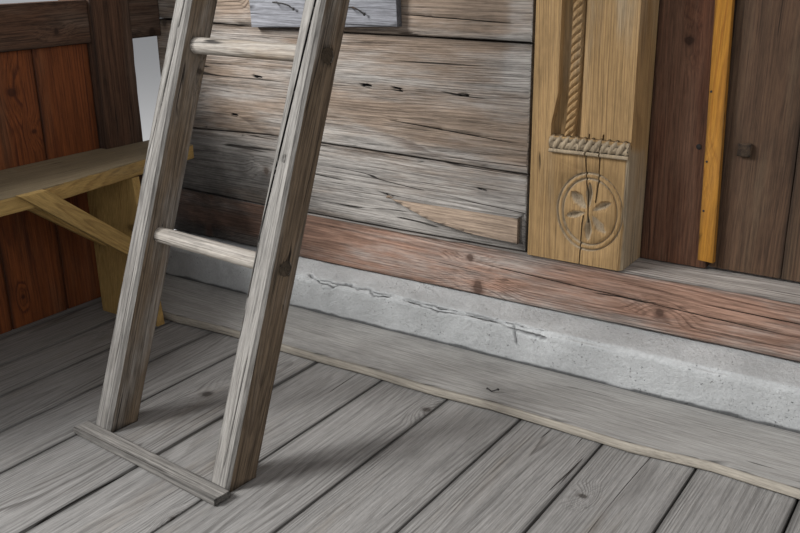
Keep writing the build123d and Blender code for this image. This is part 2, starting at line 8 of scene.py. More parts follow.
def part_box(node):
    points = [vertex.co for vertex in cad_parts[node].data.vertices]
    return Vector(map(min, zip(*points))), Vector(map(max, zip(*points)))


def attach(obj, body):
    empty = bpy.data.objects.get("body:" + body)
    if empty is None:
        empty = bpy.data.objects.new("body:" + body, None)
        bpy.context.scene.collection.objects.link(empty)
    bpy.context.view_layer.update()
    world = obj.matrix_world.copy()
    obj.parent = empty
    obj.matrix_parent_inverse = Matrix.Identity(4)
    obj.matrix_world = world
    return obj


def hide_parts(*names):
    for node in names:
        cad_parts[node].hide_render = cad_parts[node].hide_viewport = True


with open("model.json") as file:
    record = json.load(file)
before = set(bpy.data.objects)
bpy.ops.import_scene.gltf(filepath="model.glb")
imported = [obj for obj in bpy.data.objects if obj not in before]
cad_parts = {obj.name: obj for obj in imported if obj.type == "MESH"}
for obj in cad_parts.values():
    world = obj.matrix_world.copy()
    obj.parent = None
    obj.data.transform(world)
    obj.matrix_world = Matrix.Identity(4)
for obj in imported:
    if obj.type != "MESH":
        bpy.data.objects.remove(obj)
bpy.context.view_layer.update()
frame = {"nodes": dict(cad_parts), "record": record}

# Camera, at the photograph's viewpoint: eye height over the deck, turned left, looking down
CAMERA_AT = (0.230, -2.204, 1.295)
TURN_LEFT = math.radians(33.89)
TILT_DOWN = math.radians(19.10)
ROLL = math.radians(0.78)
LENS = 41.13
SENSOR = 36.0

ALONG_X = Vector((1, 0, 0))
ALONG_Y = Vector((0, 1, 0))
ALONG_Z = Vector((0, 0, 1))
FLOOR = 0.195
# Nearer than this, two places are one: on whole pieces, and on cracks and strands
EXACT = 0.00002
FINE_EXACT = 0.00001

# The ladder: how it is turned and leans, and its foot
LADDER_TURN = math.radians(-4.6)
LADDER_X = Matrix.Rotation(LADDER_TURN, 3, "Z") @ ALONG_X
LADDER_SLOPE = 0.365
LADDER_LEAN = (Matrix.Rotation(LADDER_TURN, 3, "Z") @ Vector((0, LADDER_SLOPE, 1))).normalized()
LADDER_FOOT = Vector((-1.516, -0.970, FLOOR))
BRACE_RUN = Vector((0, 0.79, -0.61)).normalized()

# The log wall: its outward direction, its middle plane, its left saw cut and how much longer that is drawn
WALL_FACE = Vector((0, -1, 0))
WALL_MIDDLE = 0.09
SAWN_END = -2.235
END_PAST = 0.018

# The painted shade in the corner under the bench: where it starts along the wall and how far on it is full,
# and its height
BENCH_SHADE_START = -1.35
BENCH_SHADE_FULL = 0.55
BENCH_SHADE_TOP = FLOOR + 0.60
BENCH_SHADE_EDGE = 0.18

# The plinth's arris, its broken stretch, and the short crack that drops from it
PLINTH_FRONT = -0.129
PLINTH_TOP = 0.335
BROKEN_START = -1.56
BROKEN_END = -0.68
SHORT_CRACK = -0.797

# The carved portal posts: their face and arris beside the door, the carving's heights and depth,
# a chip cut's least depth, and the rosette
POST_FACE = -0.010
DOOR_ARRIS = 0.548
BESIDE_ARRIS = 0.008
BAND_LOW = 0.799
CARVING_LOW = 0.832
CARVING_DEEP = 0.04
CHIP_DEEP = 0.0015
ROSE = Vector((-0.6445, 0, 0.6385))
ROSE_REACH = 0.082

# The carved rope across each portal post: its ends, its middle height and one strand
BAND_START = -0.762
BAND_END = -0.546
BAND_MIDDLE = 0.8155
STRANDS = 10
STRAND_LEAN = math.radians(33)
STRAND_SIZE = Vector((0.0093, 0.0125, 0.0240))


def set_camera():
    data = bpy.data.cameras.new("camera")
    data.lens = LENS
    data.sensor_width = SENSOR
    data.clip_start = 0.05
    camera = bpy.data.objects.new("camera", data)
    bpy.context.scene.collection.objects.link(camera)
    turn = Matrix.Rotation(TURN_LEFT, 4, "Z")
    tilt = Matrix.Rotation(math.pi / 2 - TILT_DOWN, 4, "X")
    roll = Matrix.Rotation(-ROLL, 4, "Z")
    camera.matrix_world = Matrix.Translation(CAMERA_AT) @ turn @ tilt @ roll
    bpy.context.scene.camera = camera


def area_lamp(name, place, aim, size, power):
    data = bpy.data.lights.new(name, "AREA")
    data.shape = "SQUARE"
    data.size = size
    data.energy = power
    lamp = bpy.data.objects.new(name, data)
    bpy.context.scene.collection.objects.link(lamp)
    lamp.location = place
    lamp.rotation_euler = (Vector(aim) - Vector(place)).to_track_quat("-Z", "Y").to_euler()


# Shader helpers
def node(tree, kind, inputs=None, **settings):
    made = tree.nodes.new(kind)
    for key, value in settings.items():
        setattr(made, key, value)
    for key, value in (inputs or {}).items():
        if isinstance(value, bpy.types.NodeSocket):
            tree.links.new(value, made.inputs[key])
        else:
            made.inputs[key].default_value = value
    return made


def calc(tree, operation, a, b=0.0, c=0.0, clamp=False):
    return node(tree, "ShaderNodeMath", {0: a, 1: b, 2: c}, operation=operation, use_clamp=clamp).outputs[0]


def blend(tree, amount, a, b, kind="MIX"):
    mixed = node(tree, "ShaderNodeMix", {0: amount, 6: a, 7: b}, data_type="RGBA", blend_type=kind)
    return mixed.outputs[2]


def between(tree, value, low, high, out_low=0.0, out_high=1.0):
    limits = {0: value, 1: low, 2: high, 3: out_low, 4: out_high}
    return node(tree, "ShaderNodeMapRange", limits, interpolation_type="SMOOTHSTEP").outputs[0]


def clouds(tree, place, scale=1.0, detail=4.0, rough=0.55, output="Fac"):
    inputs = {"Vector": place, "Scale": scale, "Detail": detail, "Roughness": rough}
    return node(tree, "ShaderNodeTexNoise", inputs).outputs[output]


def stretched(tree, place, along, across):
    return node(tree, "ShaderNodeMapping", {"Vector": place, "Scale": (along, across, across)}).outputs[0]


def level(tree, value):
    return node(tree, "ShaderNodeCombineColor", {0: value, 1: value, 2: value}).outputs[0]


def colour(r, g, b):
    return (r, g, b, 1.0)


def darker(base, share):
    return colour(*(share * t for t in base))


def new_finish(name):
    material = bpy.data.materials.new(name)
    material.use_nodes = True
    material.node_tree.nodes.clear()
    return material, material.node_tree


def attribute(tree, name, output="Fac"):
    """A value that mark() and its kin store on the mesh."""
    return node(tree, "ShaderNodeAttribute", attribute_name=name).outputs[output]


def close_finish(tree, base, height, depth, rough, metal=0.0):
    bump = node(tree, "ShaderNodeBump", {"Height": height, "Strength": 1.0, "Distance": depth})
    shader = node(tree, "ShaderNodeBsdfPrincipled", {
        "Base Color": base, "Roughness": rough, "Normal": bump.outputs[0]})
    shader.inputs["Metallic"].default_value = metal
    shader.inputs["Specular IOR Level"].default_value = 0.3
    output = node(tree, "ShaderNodeOutputMaterial")
    tree.links.new(shader.outputs[0], output.inputs[0])


def timber(name, early, late, grey, ring, lines, streaks, checks, knots, rough=0.8, relief=1.0, dirt_and_shade=0.5):
    """Wood in each piece's own grain: rings round the heart, knots, fibres, greyed places, checks, dirt, and
    painted shade along edges, in cracks and in hollows.
    """
    material, tree = new_finish(name)
    place = attribute(tree, "grain", "Vector")
    weather = attribute(tree, "weather")
    grime_and_shade = attribute(tree, "grime_and_shade")
    end = attribute(tree, "end")
    a, b, c = node(tree, "ShaderNodeSeparateXYZ", {0: place}).outputs

    wander = clouds(tree, stretched(tree, place, 0.8, 5.0), detail=2.0, output="Color")
    shift = node(tree, "ShaderNodeSeparateColor", {0: wander}).outputs
    u = calc(tree, "MULTIPLY_ADD", calc(tree, "SUBTRACT", shift[0], 0.5), 0.06, b)
    v = calc(tree, "MULTIPLY_ADD", calc(tree, "SUBTRACT", shift[1], 0.5), 0.06, c)
    reach = calc(tree, "SQRT", calc(tree, "MULTIPLY_ADD", u, u, calc(tree, "MULTIPLY", v, v)))

    # Knots: branches that run out from the heart, met by the face at any depth
    turn = calc(tree, "ARCTAN2", c, b)
    spots = node(tree, "ShaderNodeCombineXYZ", {
        0: calc(tree, "MULTIPLY", a, 1.9), 1: calc(tree, "MULTIPLY", turn, 1.3)}).outputs[0]
    cells = node(tree, "ShaderNodeTexVoronoi", {"Vector": spots, "Scale": 1.0, "Randomness": 0.9},
                 voronoi_dimensions="2D", feature="F1")
    middle = node(tree, "ShaderNodeSeparateXYZ", {0: cells.outputs["Position"]}).outputs
    off_a = calc(tree, "SUBTRACT", a, calc(tree, "DIVIDE", middle[0], 1.9))
    off_t = calc(tree, "MULTIPLY", calc(tree, "SUBTRACT", turn, calc(tree, "DIVIDE", middle[1], 1.3)), reach)
    lot = node(tree, "ShaderNodeSeparateColor", {0: cells.outputs["Color"]}).outputs
    chosen = calc(tree, "LESS_THAN", lot[0], knots)
    size = calc(tree, "MULTIPLY_ADD", lot[1], 0.009, 0.006)
    ragged = clouds(tree, stretched(tree, place, 60.0, 90.0), detail=2.0)
    ragged = calc(tree, "MULTIPLY_ADD", ragged, 0.8, 0.6)
    away = calc(tree, "SQRT", calc(tree, "MULTIPLY_ADD", off_a, off_a, calc(tree, "MULTIPLY", off_t, off_t)))
    away = calc(tree, "MULTIPLY", away, ragged)
    short = calc(tree, "MULTIPLY", off_a, 0.45)
    wide = calc(tree, "SQRT", calc(tree, "MULTIPLY_ADD", short, short, calc(tree, "MULTIPLY", off_t, off_t)))
    share = calc(tree, "DIVIDE", away, size)
    core = calc(tree, "MULTIPLY", between(tree, share, 0.7, 1.2, 1.0, 0.0), chosen)
    collar = calc(tree, "MULTIPLY", between(tree, share, 0.9, 2.1, 1.0, 0.0), chosen)
    swell = between(tree, calc(tree, "DIVIDE", wide, size), 0.0, 5.0, 1.0, 0.0)
    swell = calc(tree, "MULTIPLY", swell, chosen)

    # Rings
    reach = calc(tree, "MULTIPLY_ADD", swell, 0.022, reach)
    tremble = clouds(tree, stretched(tree, place, 3.0, 45.0), detail=3.0)
    reach = calc(tree, "MULTIPLY_ADD", tremble, ring * 1.1, reach)
    count = calc(tree, "DIVIDE", reach, ring)
    phase = calc(tree, "FRACT", count)
    weight = node(tree, "ShaderNodeTexWhiteNoise", {"W": calc(tree, "FLOOR", count)}, noise_dimensions="1D")
    weight = calc(tree, "MULTIPLY_ADD", weight.outputs[0], 0.75, 0.25)
    fade = clouds(tree, stretched(tree, place, 1.6, 9.0), detail=3.0)
    fade = between(tree, fade, 0.3, 0.7, 0.25, 1.0)
    line = calc(tree, "MULTIPLY", between(tree, phase, 0.35, 0.8), between(tree, phase, 0.88, 1.0, 1.0, 0.0))
    line = calc(tree, "MULTIPLY", line, calc(tree, "MULTIPLY", weight, fade))

    # Streaks: broad ones, thin ones and single fibres
    run = calc(tree, "MULTIPLY_ADD", swell, 0.012, b)
    rise = calc(tree, "MULTIPLY_ADD", swell, 0.012, c)
    drawn = node(tree, "ShaderNodeCombineXYZ", {0: a, 1: run, 2: rise}).outputs[0]
    streak = clouds(tree, stretched(tree, drawn, 1.8, 48.0), detail=3.0, rough=0.6)
    thin = clouds(tree, stretched(tree, drawn, 5.0, 210.0), detail=3.0, rough=0.65)
    fibre = clouds(tree, stretched(tree, drawn, 12.0, 520.0), detail=2.0, rough=0.7)
    fleck = clouds(tree, stretched(tree, drawn, 34.0, 190.0), detail=4.0, rough=0.7)
    patch = clouds(tree, stretched(tree, place, 1.3, 7.5), detail=6.0, rough=0.66)
    stain = clouds(tree, stretched(tree, place, 2.6, 5.0), detail=5.0, rough=0.65)

    # Checks: thin splits that follow the fibres, painted near black as the shade inside them, and hair-thin
    # dark lines
    drift = clouds(tree, stretched(tree, drawn, 0.45, 16.0), detail=2.0, rough=0.4)
    gap = calc(tree, "ABSOLUTE", calc(tree, "SUBTRACT", drift, 0.5))
    where = clouds(tree, stretched(tree, place, 1.3, 11.0), scale=1.7, detail=2.0)
    split = calc(tree, "MULTIPLY", between(tree, gap, 0.002, 0.007, 1.0, 0.0),
                 between(tree, where, 0.68 - 0.2 * checks, 0.72 - 0.2 * checks))
    winding = clouds(tree, stretched(tree, drawn, 1.6, 95.0), detail=2.0, rough=0.5)
    hair = calc(tree, "ABSOLUTE", calc(tree, "SUBTRACT", winding, 0.5))
    hair = calc(tree, "MULTIPLY", between(tree, hair, 0.004, 0.03, 1.0, 0.0),
                between(tree, streak, 0.42, 0.6, 1.0, 0.2))
    split = calc(tree, "MULTIPLY", split, calc(tree, "SUBTRACT", 1.0, end))

    # Colour
    base = blend(tree, calc(tree, "MULTIPLY", line, 0.4 + lines, clamp=True), colour(*early), colour(*late))
    low = calc(tree, "MULTIPLY_ADD", weather, -0.6, 0.64)
    tone = node(tree, "ShaderNodeMapRange", {0: patch, 1: low, 2: calc(tree, "ADD", low, 0.26)},
                interpolation_type="SMOOTHSTEP").outputs[0]
    grey_late = blend(tree, 0.5, darker(grey, 0.45), colour(*late))
    silver = blend(tree, calc(tree, "MULTIPLY", line, lines, clamp=True), colour(*grey), grey_late)
    base = blend(tree, calc(tree, "MULTIPLY", tone, 0.92), base, silver)
    fresh = between(tree, weather, -0.9, -0.3, 1.0, 0.0)
    base = blend(tree, calc(tree, "MULTIPLY", fresh, 0.8), base, darker(early, 1.75))
    light = calc(tree, "MULTIPLY_ADD", between(tree, streak, 0.3, 0.7, -0.5, 0.5), 0.3 * streaks, 1.0)
    light = calc(tree, "MULTIPLY_ADD", between(tree, thin, 0.34, 0.64, -0.55, 0.45), 0.75 * streaks, light)
    light = calc(tree, "MULTIPLY_ADD", calc(tree, "SUBTRACT", fibre, 0.5), 0.4 + 0.9 * streaks, light)
    light = calc(tree, "MULTIPLY_ADD", calc(tree, "SUBTRACT", fleck, 0.5), 0.3 + 0.7 * streaks, light)
    light = calc(tree, "MULTIPLY_ADD", hair, -0.45 * checks, light)
    light = calc(tree, "MULTIPLY", light, between(tree, stain, 0.52, 0.74, 1.0, 1.0 - 0.5 * dirt_and_shade))
    # Dirt along the edges, and painted shade in joints, cracks, carved hollows and the corner under the
    # bench, darken the wood
    soot_and_shade = calc(tree, "MULTIPLY", grime_and_shade, between(tree, stain, 0.25, 0.6, 0.5, 1.0))
    light = calc(tree, "MULTIPLY", light, calc(tree, "MULTIPLY_ADD", soot_and_shade, -0.9, 1.0, clamp=True))
    light = calc(tree, "MULTIPLY", light, calc(tree, "MULTIPLY_ADD", end, -0.5, 1.0))
    base = blend(tree, 1.0, base, level(tree, light), "MULTIPLY")
    base = blend(tree, calc(tree, "MULTIPLY", collar, 0.45), base, darker(late, 0.8))
    base = blend(tree, calc(tree, "MULTIPLY", core, 0.7), base, darker(late, 0.45))
    # Painted shade inside the splits
    base = blend(tree, calc(tree, "MULTIPLY", split, 0.92), base, colour(0.012, 0.009, 0.007))

    height = calc(tree, "MULTIPLY_ADD", line, 0.35, calc(tree, "MULTIPLY", fibre, 0.4))
    height = calc(tree, "MULTIPLY_ADD", streak, 0.7, height)
    height = calc(tree, "MULTIPLY_ADD", thin, 0.9, height)
    height = calc(tree, "MULTIPLY_ADD", fleck, 0.6, height)
    height = calc(tree, "MULTIPLY_ADD", hair, -0.5 * checks, height)
    height = calc(tree, "MULTIPLY_ADD", core, 0.4, height)
    height = calc(tree, "MULTIPLY_ADD", split, -2.4, height)
    close_finish(tree, base, height, 0.0014 * relief, rough)
    return material


def lime_render(name, base):
    """Rough grey masonry render: trowelled clouds, sand, pits, pale and damp stains, hair cracks with
    painted shade in them.
    """
    material, tree = new_finish(name)
    place = node(tree, "ShaderNodeTexCoord").outputs["Object"]
    grime_and_shade = attribute(tree, "grime_and_shade")
    cloud = clouds(tree, place, 3.2, 6.0, 0.6)
    mottle = clouds(tree, place, 26.0, 6.0, 0.65)
    sand = clouds(tree, place, 420.0, 3.0, 0.6)
    down = node(tree, "ShaderNodeMapping", {"Vector": place, "Scale": (22.0, 22.0, 3.0)}).outputs[0]
    runs = clouds(tree, down)
    bent = clouds(tree, place, 9.0, 3.0, output="Color")
    bent = node(tree, "ShaderNodeVectorMath", {0: place, 1: bent}, operation="ADD").outputs[0]
    net = node(tree, "ShaderNodeTexVoronoi", {"Vector": bent, "Scale": 2.6, "Randomness": 1.0},
               feature="DISTANCE_TO_EDGE").outputs["Distance"]
    crack = calc(tree, "MULTIPLY", between(tree, net, 0.001, 0.005, 1.0, 0.0),
                 between(tree, clouds(tree, place, 2.3, 2.0), 0.64, 0.68))
    tone = blend(tree, between(tree, cloud, 0.3, 0.7), darker(base, 0.72), darker(base, 1.12))
    tone = blend(tree, between(tree, mottle, 0.45, 0.8, 0.0, 0.5), tone, darker(base, 0.6))
    flecks = clouds(tree, place, 70.0, 5.0, 0.7)
    tone = blend(tree, between(tree, flecks, 0.6, 0.7, 0.0, 0.5), tone, colour(0.66, 0.66, 0.64))
    tone = blend(tree, between(tree, runs, 0.62, 0.72, 0.0, 0.35), tone, colour(0.72, 0.72, 0.69))
    tone = blend(tree, between(tree, sand, 0.3, 0.7, 0.0, 0.3), tone, darker(base, 0.7))
    grit = clouds(tree, place, 120.0, 4.0, 0.75)
    tone = blend(tree, between(tree, grit, 0.35, 0.65, 0.0, 0.35), tone, darker(base, 0.6))
    pits = calc(tree, "MULTIPLY", between(tree, clouds(tree, place, 170.0, 2.0), 0.66, 0.72),
                between(tree, clouds(tree, place, 7.0, 3.0), 0.42, 0.6))
    tone = blend(tree, calc(tree, "MULTIPLY", pits, 0.8), tone, darker(base, 0.2))
    # Painted shade in the arris cracks, and darker along the foot, from the vertex attribute
    tone = blend(tree, calc(tree, "MULTIPLY", grime_and_shade, 0.85), tone, darker(base, 0.12))
    # Painted shade in the hair cracks
    tone = blend(tree, calc(tree, "MULTIPLY", crack, 0.75), tone, darker(base, 0.15))
    height = calc(tree, "MULTIPLY_ADD", sand, 0.35, calc(tree, "MULTIPLY", mottle, 1.4))
    height = calc(tree, "MULTIPLY_ADD", crack, -1.5, height)
    height = calc(tree, "MULTIPLY_ADD", grit, 0.8, calc(tree, "MULTIPLY_ADD", pits, -0.9, height))
    close_finish(tree, tone, height, 0.004, 0.92)
    return material


def forged(name, base):
    """Forged iron: hammered, dark, with brown rust where it is worn."""
    material, tree = new_finish(name)
    place = node(tree, "ShaderNodeTexCoord").outputs["Object"]
    cloud = clouds(tree, place, 30.0, 5.0)
    grit = clouds(tree, place, 320.0, 4.0)
    rust = blend(tree, between(tree, grit, 0.3, 0.7), colour(0.07, 0.034, 0.02), colour(0.12, 0.06, 0.03))
    tone = blend(tree, between(tree, cloud, 0.56, 0.76), colour(*base), rust)
    height = calc(tree, "MULTIPLY_ADD", grit, 0.4, cloud)
    close_finish(tree, tone, height, 0.0012, 0.65, 0.35)
    return material


# Early, late and greyed wood; ring width; strength of rings, streaks and checks; share of knots
WOODS = {
    "frame_wood": dict(
        early=(0.085, 0.043, 0.025), late=(0.04, 0.02, 0.012), grey=(0.10, 0.07, 0.052),
        ring=0.004, lines=0.4, streaks=0.9, checks=0.5, knots=0.2),
    "deck_wood": dict(
        early=(0.235, 0.207, 0.175), late=(0.075, 0.062, 0.053), grey=(0.262, 0.255, 0.245),
        ring=0.0052, lines=0.8, streaks=0.35, checks=0.4, knots=0.2, dirt_and_shade=0.35),
    "pale_board": dict(
        early=(0.30, 0.27, 0.225), late=(0.16, 0.138, 0.11), grey=(0.35, 0.342, 0.325),
        ring=0.007, lines=0.4, streaks=0.3, checks=0.3, knots=0.08, dirt_and_shade=0.6),
    "red_sill": dict(
        early=(0.32, 0.19, 0.135), late=(0.14, 0.075, 0.052), grey=(0.44, 0.41, 0.375),
        ring=0.0058, lines=0.7, streaks=0.6, checks=0.55, knots=0.3, relief=1.5),
    "silver_log": dict(
        early=(0.245, 0.185, 0.138), late=(0.10, 0.068, 0.05), grey=(0.35, 0.33, 0.305),
        ring=0.0055, lines=0.75, streaks=0.62, checks=0.7, knots=0.22, relief=1.6),
    "grey_board": dict(
        early=(0.215, 0.213, 0.22), late=(0.11, 0.107, 0.115), grey=(0.235, 0.238, 0.258),
        ring=0.006, lines=0.6, streaks=0.6, checks=0.7, knots=0.1, relief=1.2),
    "carved_wood": dict(
        early=(0.37, 0.235, 0.105), late=(0.20, 0.115, 0.05), grey=(0.355, 0.285, 0.195),
        ring=0.0055, lines=0.4, streaks=0.4, checks=0.35, knots=0.0, relief=0.9),
    "red_board": dict(
        early=(0.108, 0.043, 0.022), late=(0.048, 0.02, 0.011), grey=(0.155, 0.082, 0.05),
        ring=0.005, lines=0.5, streaks=0.6, checks=0.3, knots=0.1),
    "dark_door": dict(
        early=(0.088, 0.049, 0.028), late=(0.04, 0.023, 0.014), grey=(0.115, 0.078, 0.048),
        ring=0.0045, lines=0.5, streaks=0.55, checks=0.25, knots=0.15),
    "new_strip": dict(
        early=(0.40, 0.18, 0.022), late=(0.26, 0.095, 0.012), grey=(0.36, 0.17, 0.035),
        ring=0.006, lines=0.5, streaks=0.35, checks=0.1, knots=0.15, dirt_and_shade=0.2),
    "ladder_wood": dict(
        early=(0.155, 0.114, 0.076), late=(0.065, 0.046, 0.031), grey=(0.28, 0.267, 0.247),
        ring=0.0055, lines=0.6, streaks=0.65, checks=0.7, knots=0.05, relief=1.3),
    "rung_wood": dict(
        early=(0.33, 0.25, 0.17), late=(0.17, 0.12, 0.08), grey=(0.39, 0.36, 0.32),
        ring=0.005, lines=0.5, streaks=0.6, checks=0.5, knots=0.0, rough=0.65, dirt_and_shade=1.0),
    "parapet_wood": dict(
        early=(0.17, 0.048, 0.012), late=(0.07, 0.018, 0.006), grey=(0.14, 0.06, 0.028),
        ring=0.009, lines=0.7, streaks=0.6, checks=0.3, knots=0.3, rough=0.7),
    "bench_wood": dict(
        early=(0.41, 0.27, 0.095), late=(0.26, 0.155, 0.052), grey=(0.20, 0.162, 0.105),
        ring=0.008, lines=0.4, streaks=0.3, checks=0.25, knots=0.12, dirt_and_shade=0.3),
}


def finishes():
    """Every finish by its slot's name."""
    made = {
        "render": lime_render("render", (0.61, 0.62, 0.615)),
        "iron": forged("iron", (0.032, 0.03, 0.029)),
    }
    for name, wood in WOODS.items():
        made[name] = timber(name, **wood)
    return made


# Shapes
def joined(name, span=None):
    """A copy of a solid, its loose triangles merged into whole faces.

    With a span of x, only the faces that have wood behind them there.
    """
    made = bmesh.new()
    made.from_mesh(frame["nodes"][name].data)
    if span:
        made.normal_update()
        behind = {f: (f.calc_center_median() - f.normal * 0.001).x for f in made.faces}
        beyond = [f for f, x in behind.items() if not span[0] < x < span[1]]
        bmesh.ops.delete(made, geom=beyond, context="FACES")
    bmesh.ops.remove_doubles(made, verts=made.verts, dist=EXACT)
    bmesh.ops.dissolve_limit(made, angle_limit=math.radians(1.0), verts=made.verts, edges=made.edges)
    return made


def pieces_of(made):
    """Splits a mesh into one mesh for each of its separate solids."""
    made.verts.ensure_lookup_table()
    seen = set()
    groups = []
    for start in made.verts:
        if start.index in seen:
            continue
        group, todo = set(), [start]
        seen.add(start.index)
        while todo:
            vert = todo.pop()
            group.add(vert.index)
            for edge in vert.link_edges:
                other = edge.other_vert(vert)
                if other.index not in seen:
                    seen.add(other.index)
                    todo.append(other)
        groups.append(group)
    parts = []
    for group in groups:
        part = made.copy()
        part.verts.ensure_lookup_table()
        bmesh.ops.delete(part, geom=[v for v in part.verts if v.index not in group], context="VERTS")
        parts.append(part)
    made.free()
    return parts


def door_board_parts():
    """The door's boards, which touch each other, one by one."""
    faces = frame["nodes"]["door_boards"].data.polygons
    sides = sorted({round(face.center.x, 5) for face in faces if abs(face.normal.x) > 0.9})
    return [joined("door_boards", span) for span in zip(sides[:-1], sides[1:])]


def cut_across(part, place, axis):
    """Adds a row of vertices where a plane meets the piece."""
    geom = part.verts[:] + part.edges[:] + part.faces[:]
    bmesh.ops.bisect_plane(part, geom=geom, dist=EXACT, plane_co=place, plane_no=axis)


def slice_up(part, axis, step):
    reach = [v.co.dot(axis) for v in part.verts]
    low, high = min(reach), max(reach)
    count = max(1, round((high - low) / step))
    for k in range(1, count):
        cut_across(part, axis * (low + (high - low) * k / count), axis)


def rounded(part, size, sharp=30.0, long=0.0):
    """Rounds the arrises that are sharp enough, in degrees, and long enough."""
    edges = [e for e in part.edges if len(e.link_faces) == 2 and e.calc_face_angle(0) > math.radians(sharp)
             and e.calc_length() >= long]
    bmesh.ops.bevel(part, geom=edges, offset=size, segments=2, profile=0.5, affect="EDGES", material=-1,
                    clamp_overlap=True)


def unit(value):
    """The value kept between 0 and 1."""
    return min(1.0, max(0.0, value))


def steady(text, k):
    """A number from 0 to 1 that is always the same for piece k of a node."""
    total = sum((i + 3) * ord(letter) for i, letter in enumerate(text)) + 97 * k
    return (math.sin(total * 12.9898) * 43758.5453) % 1.0


def cross_axes(along):
    if abs(along.z) > 0.99:
        return ALONG_X, ALONG_Y
    if abs(along.z) > 0.5:
        side = along.cross(ALONG_Y).normalized() if abs(along.x) > abs(along.y) else LADDER_X
        return side, along.cross(side).normalized()
    side = along.cross(ALONG_Z).normalized()
    return side, ALONG_Z


def heart_of(name, k, wide, deep):
    """Where the tree's heart lay: inside a squared log, or behind the face of a board."""
    first, second = steady(name, k), steady(name, k + 50)
    behind = 0.05 + 0.09 * first
    if deep < 0.5 * wide:
        return (second - 0.5) * 0.8 * wide, -behind
    if wide < 0.5 * deep:
        return -behind, (second - 0.5) * 0.8 * deep
    return (first - 0.5) * 0.3 * wide, (second - 0.5) * 0.3 * deep


def distances(part, along, side, rise):
    """For each vertex, how far it lies from the nearest long edge of its piece, slice by slice."""
    rows = {}
    for vert in part.verts:
        rows.setdefault(round(vert.co.dot(along) * 250), []).append(vert)
    found = {}
    for row in rows.values():
        s = [v.co.dot(side) for v in row]
        r = [v.co.dot(rise) for v in row]
        s_low, s_high, r_low, r_high = min(s), max(s), min(r), max(r)
        for vert, p, q in zip(row, s, r):
            found[vert] = max(min(p - s_low, s_high - p), min(q - r_low, r_high - q))
    return found


def mark(part, name, k, along, weathering, grime_and_shade_reach):
    """Stores on each vertex its place in the wood's own grain, its weathering, and its dirt and painted
    shade near the long edges.
    """
    side, rise = cross_axes(along)
    low = [min(v.co.dot(d) for v in part.verts) for d in (along, side, rise)]
    high = [max(v.co.dot(d) for v in part.verts) for d in (along, side, rise)]
    middle = [(p + q) / 2 for p, q in zip(low, high)]
    heart = heart_of(name, k, high[1] - low[1], high[2] - low[2])
    lean = (steady(name, k + 7) - 0.5) * 0.03, (steady(name, k + 9) - 0.5) * 0.03
    grain = part.verts.layers.float_vector.new("grain")
    weather = part.verts.layers.float.new("weather")
    grime_and_shade = part.verts.layers.float.new("grime_and_shade")
    end = part.faces.layers.float.new("end")
    near_edge = distances(part, along, side, rise)
    part.normal_update()
    for vert in part.verts:
        a = vert.co.dot(along) - middle[0]
        b = vert.co.dot(side) - middle[1] - heart[0] + lean[0] * a
        c = vert.co.dot(rise) - middle[2] - heart[1] + lean[1] * a
        vert[grain] = Vector((a + 20 * steady(name, k + 3), b, c))
        vert[weather] = weathering(vert.co, vert.normal) if callable(weathering) else weathering
        # Darker near the long edges: dirt, and painted shade in the joints between pieces
        vert[grime_and_shade] = math.exp(-near_edge[vert] / grime_and_shade_reach) if grime_and_shade_reach else 0.0
    for face in part.faces:
        face[end] = 1.0 if abs(face.normal.dot(along)) > 0.8 else 0.0
    return near_edge


def wear_down(part, near_edge, wear, nicks):
    """Takes wood off unevenly: hewn hollows along the grain, fine ridges, and nicks along the arrises."""
    grain = part.verts.layers.float_vector["grain"]
    end = part.faces.layers.float["end"]
    part.normal_update()
    moves = []
    for vert in part.verts:
        a, b, c = vert[grain]
        broad = noise.noise(Vector((a * 2.4, b * 11.0, c * 11.0)))
        ridge = noise.noise(Vector((a * 4.0, b * 48.0 + 9.0, c * 48.0)))
        loss = wear * (0.75 + 0.7 * broad + 0.45 * ridge)
        edge = math.exp(-near_edge[vert] / 0.008)
        nick = max(0.0, noise.noise(Vector((a * 15.0, b * 20.0, c * 20.0 + 5.0))) - 0.12)
        loss += nicks * edge * nick
        sawn = any(face[end] > 0.5 for face in vert.link_faces)
        moves.append((vert, 0.0 if sawn else max(0.0, loss)))
    for vert, loss in moves:
        vert.co -= vert.normal * loss


# How far past its ends and beside it the faces round a crack are cut
PAST_CRACK = 0.03
BESIDE_CRACK = 0.06
# A crack's lines: place across it in widths, share of its depth, painted shade
CRACK_LINES = ((-0.5, 0.0, 0.0), (-0.34, 0.7, 1.7), (0.0, 1.0, 2.0), (0.34, 0.7, 1.7), (0.5, 0.0, 0.0))
# The same for a crack with painted shade right from its lips
SPLIT_LINES = ((-0.5, 0.0, 0.0), (-0.44, 0.1, 1.8), (-0.2, 0.7, 2.0), (0.0, 1.0, 2.0),
               (0.2, 0.7, 2.0), (0.44, 0.1, 1.8), (0.5, 0.0, 0.0))


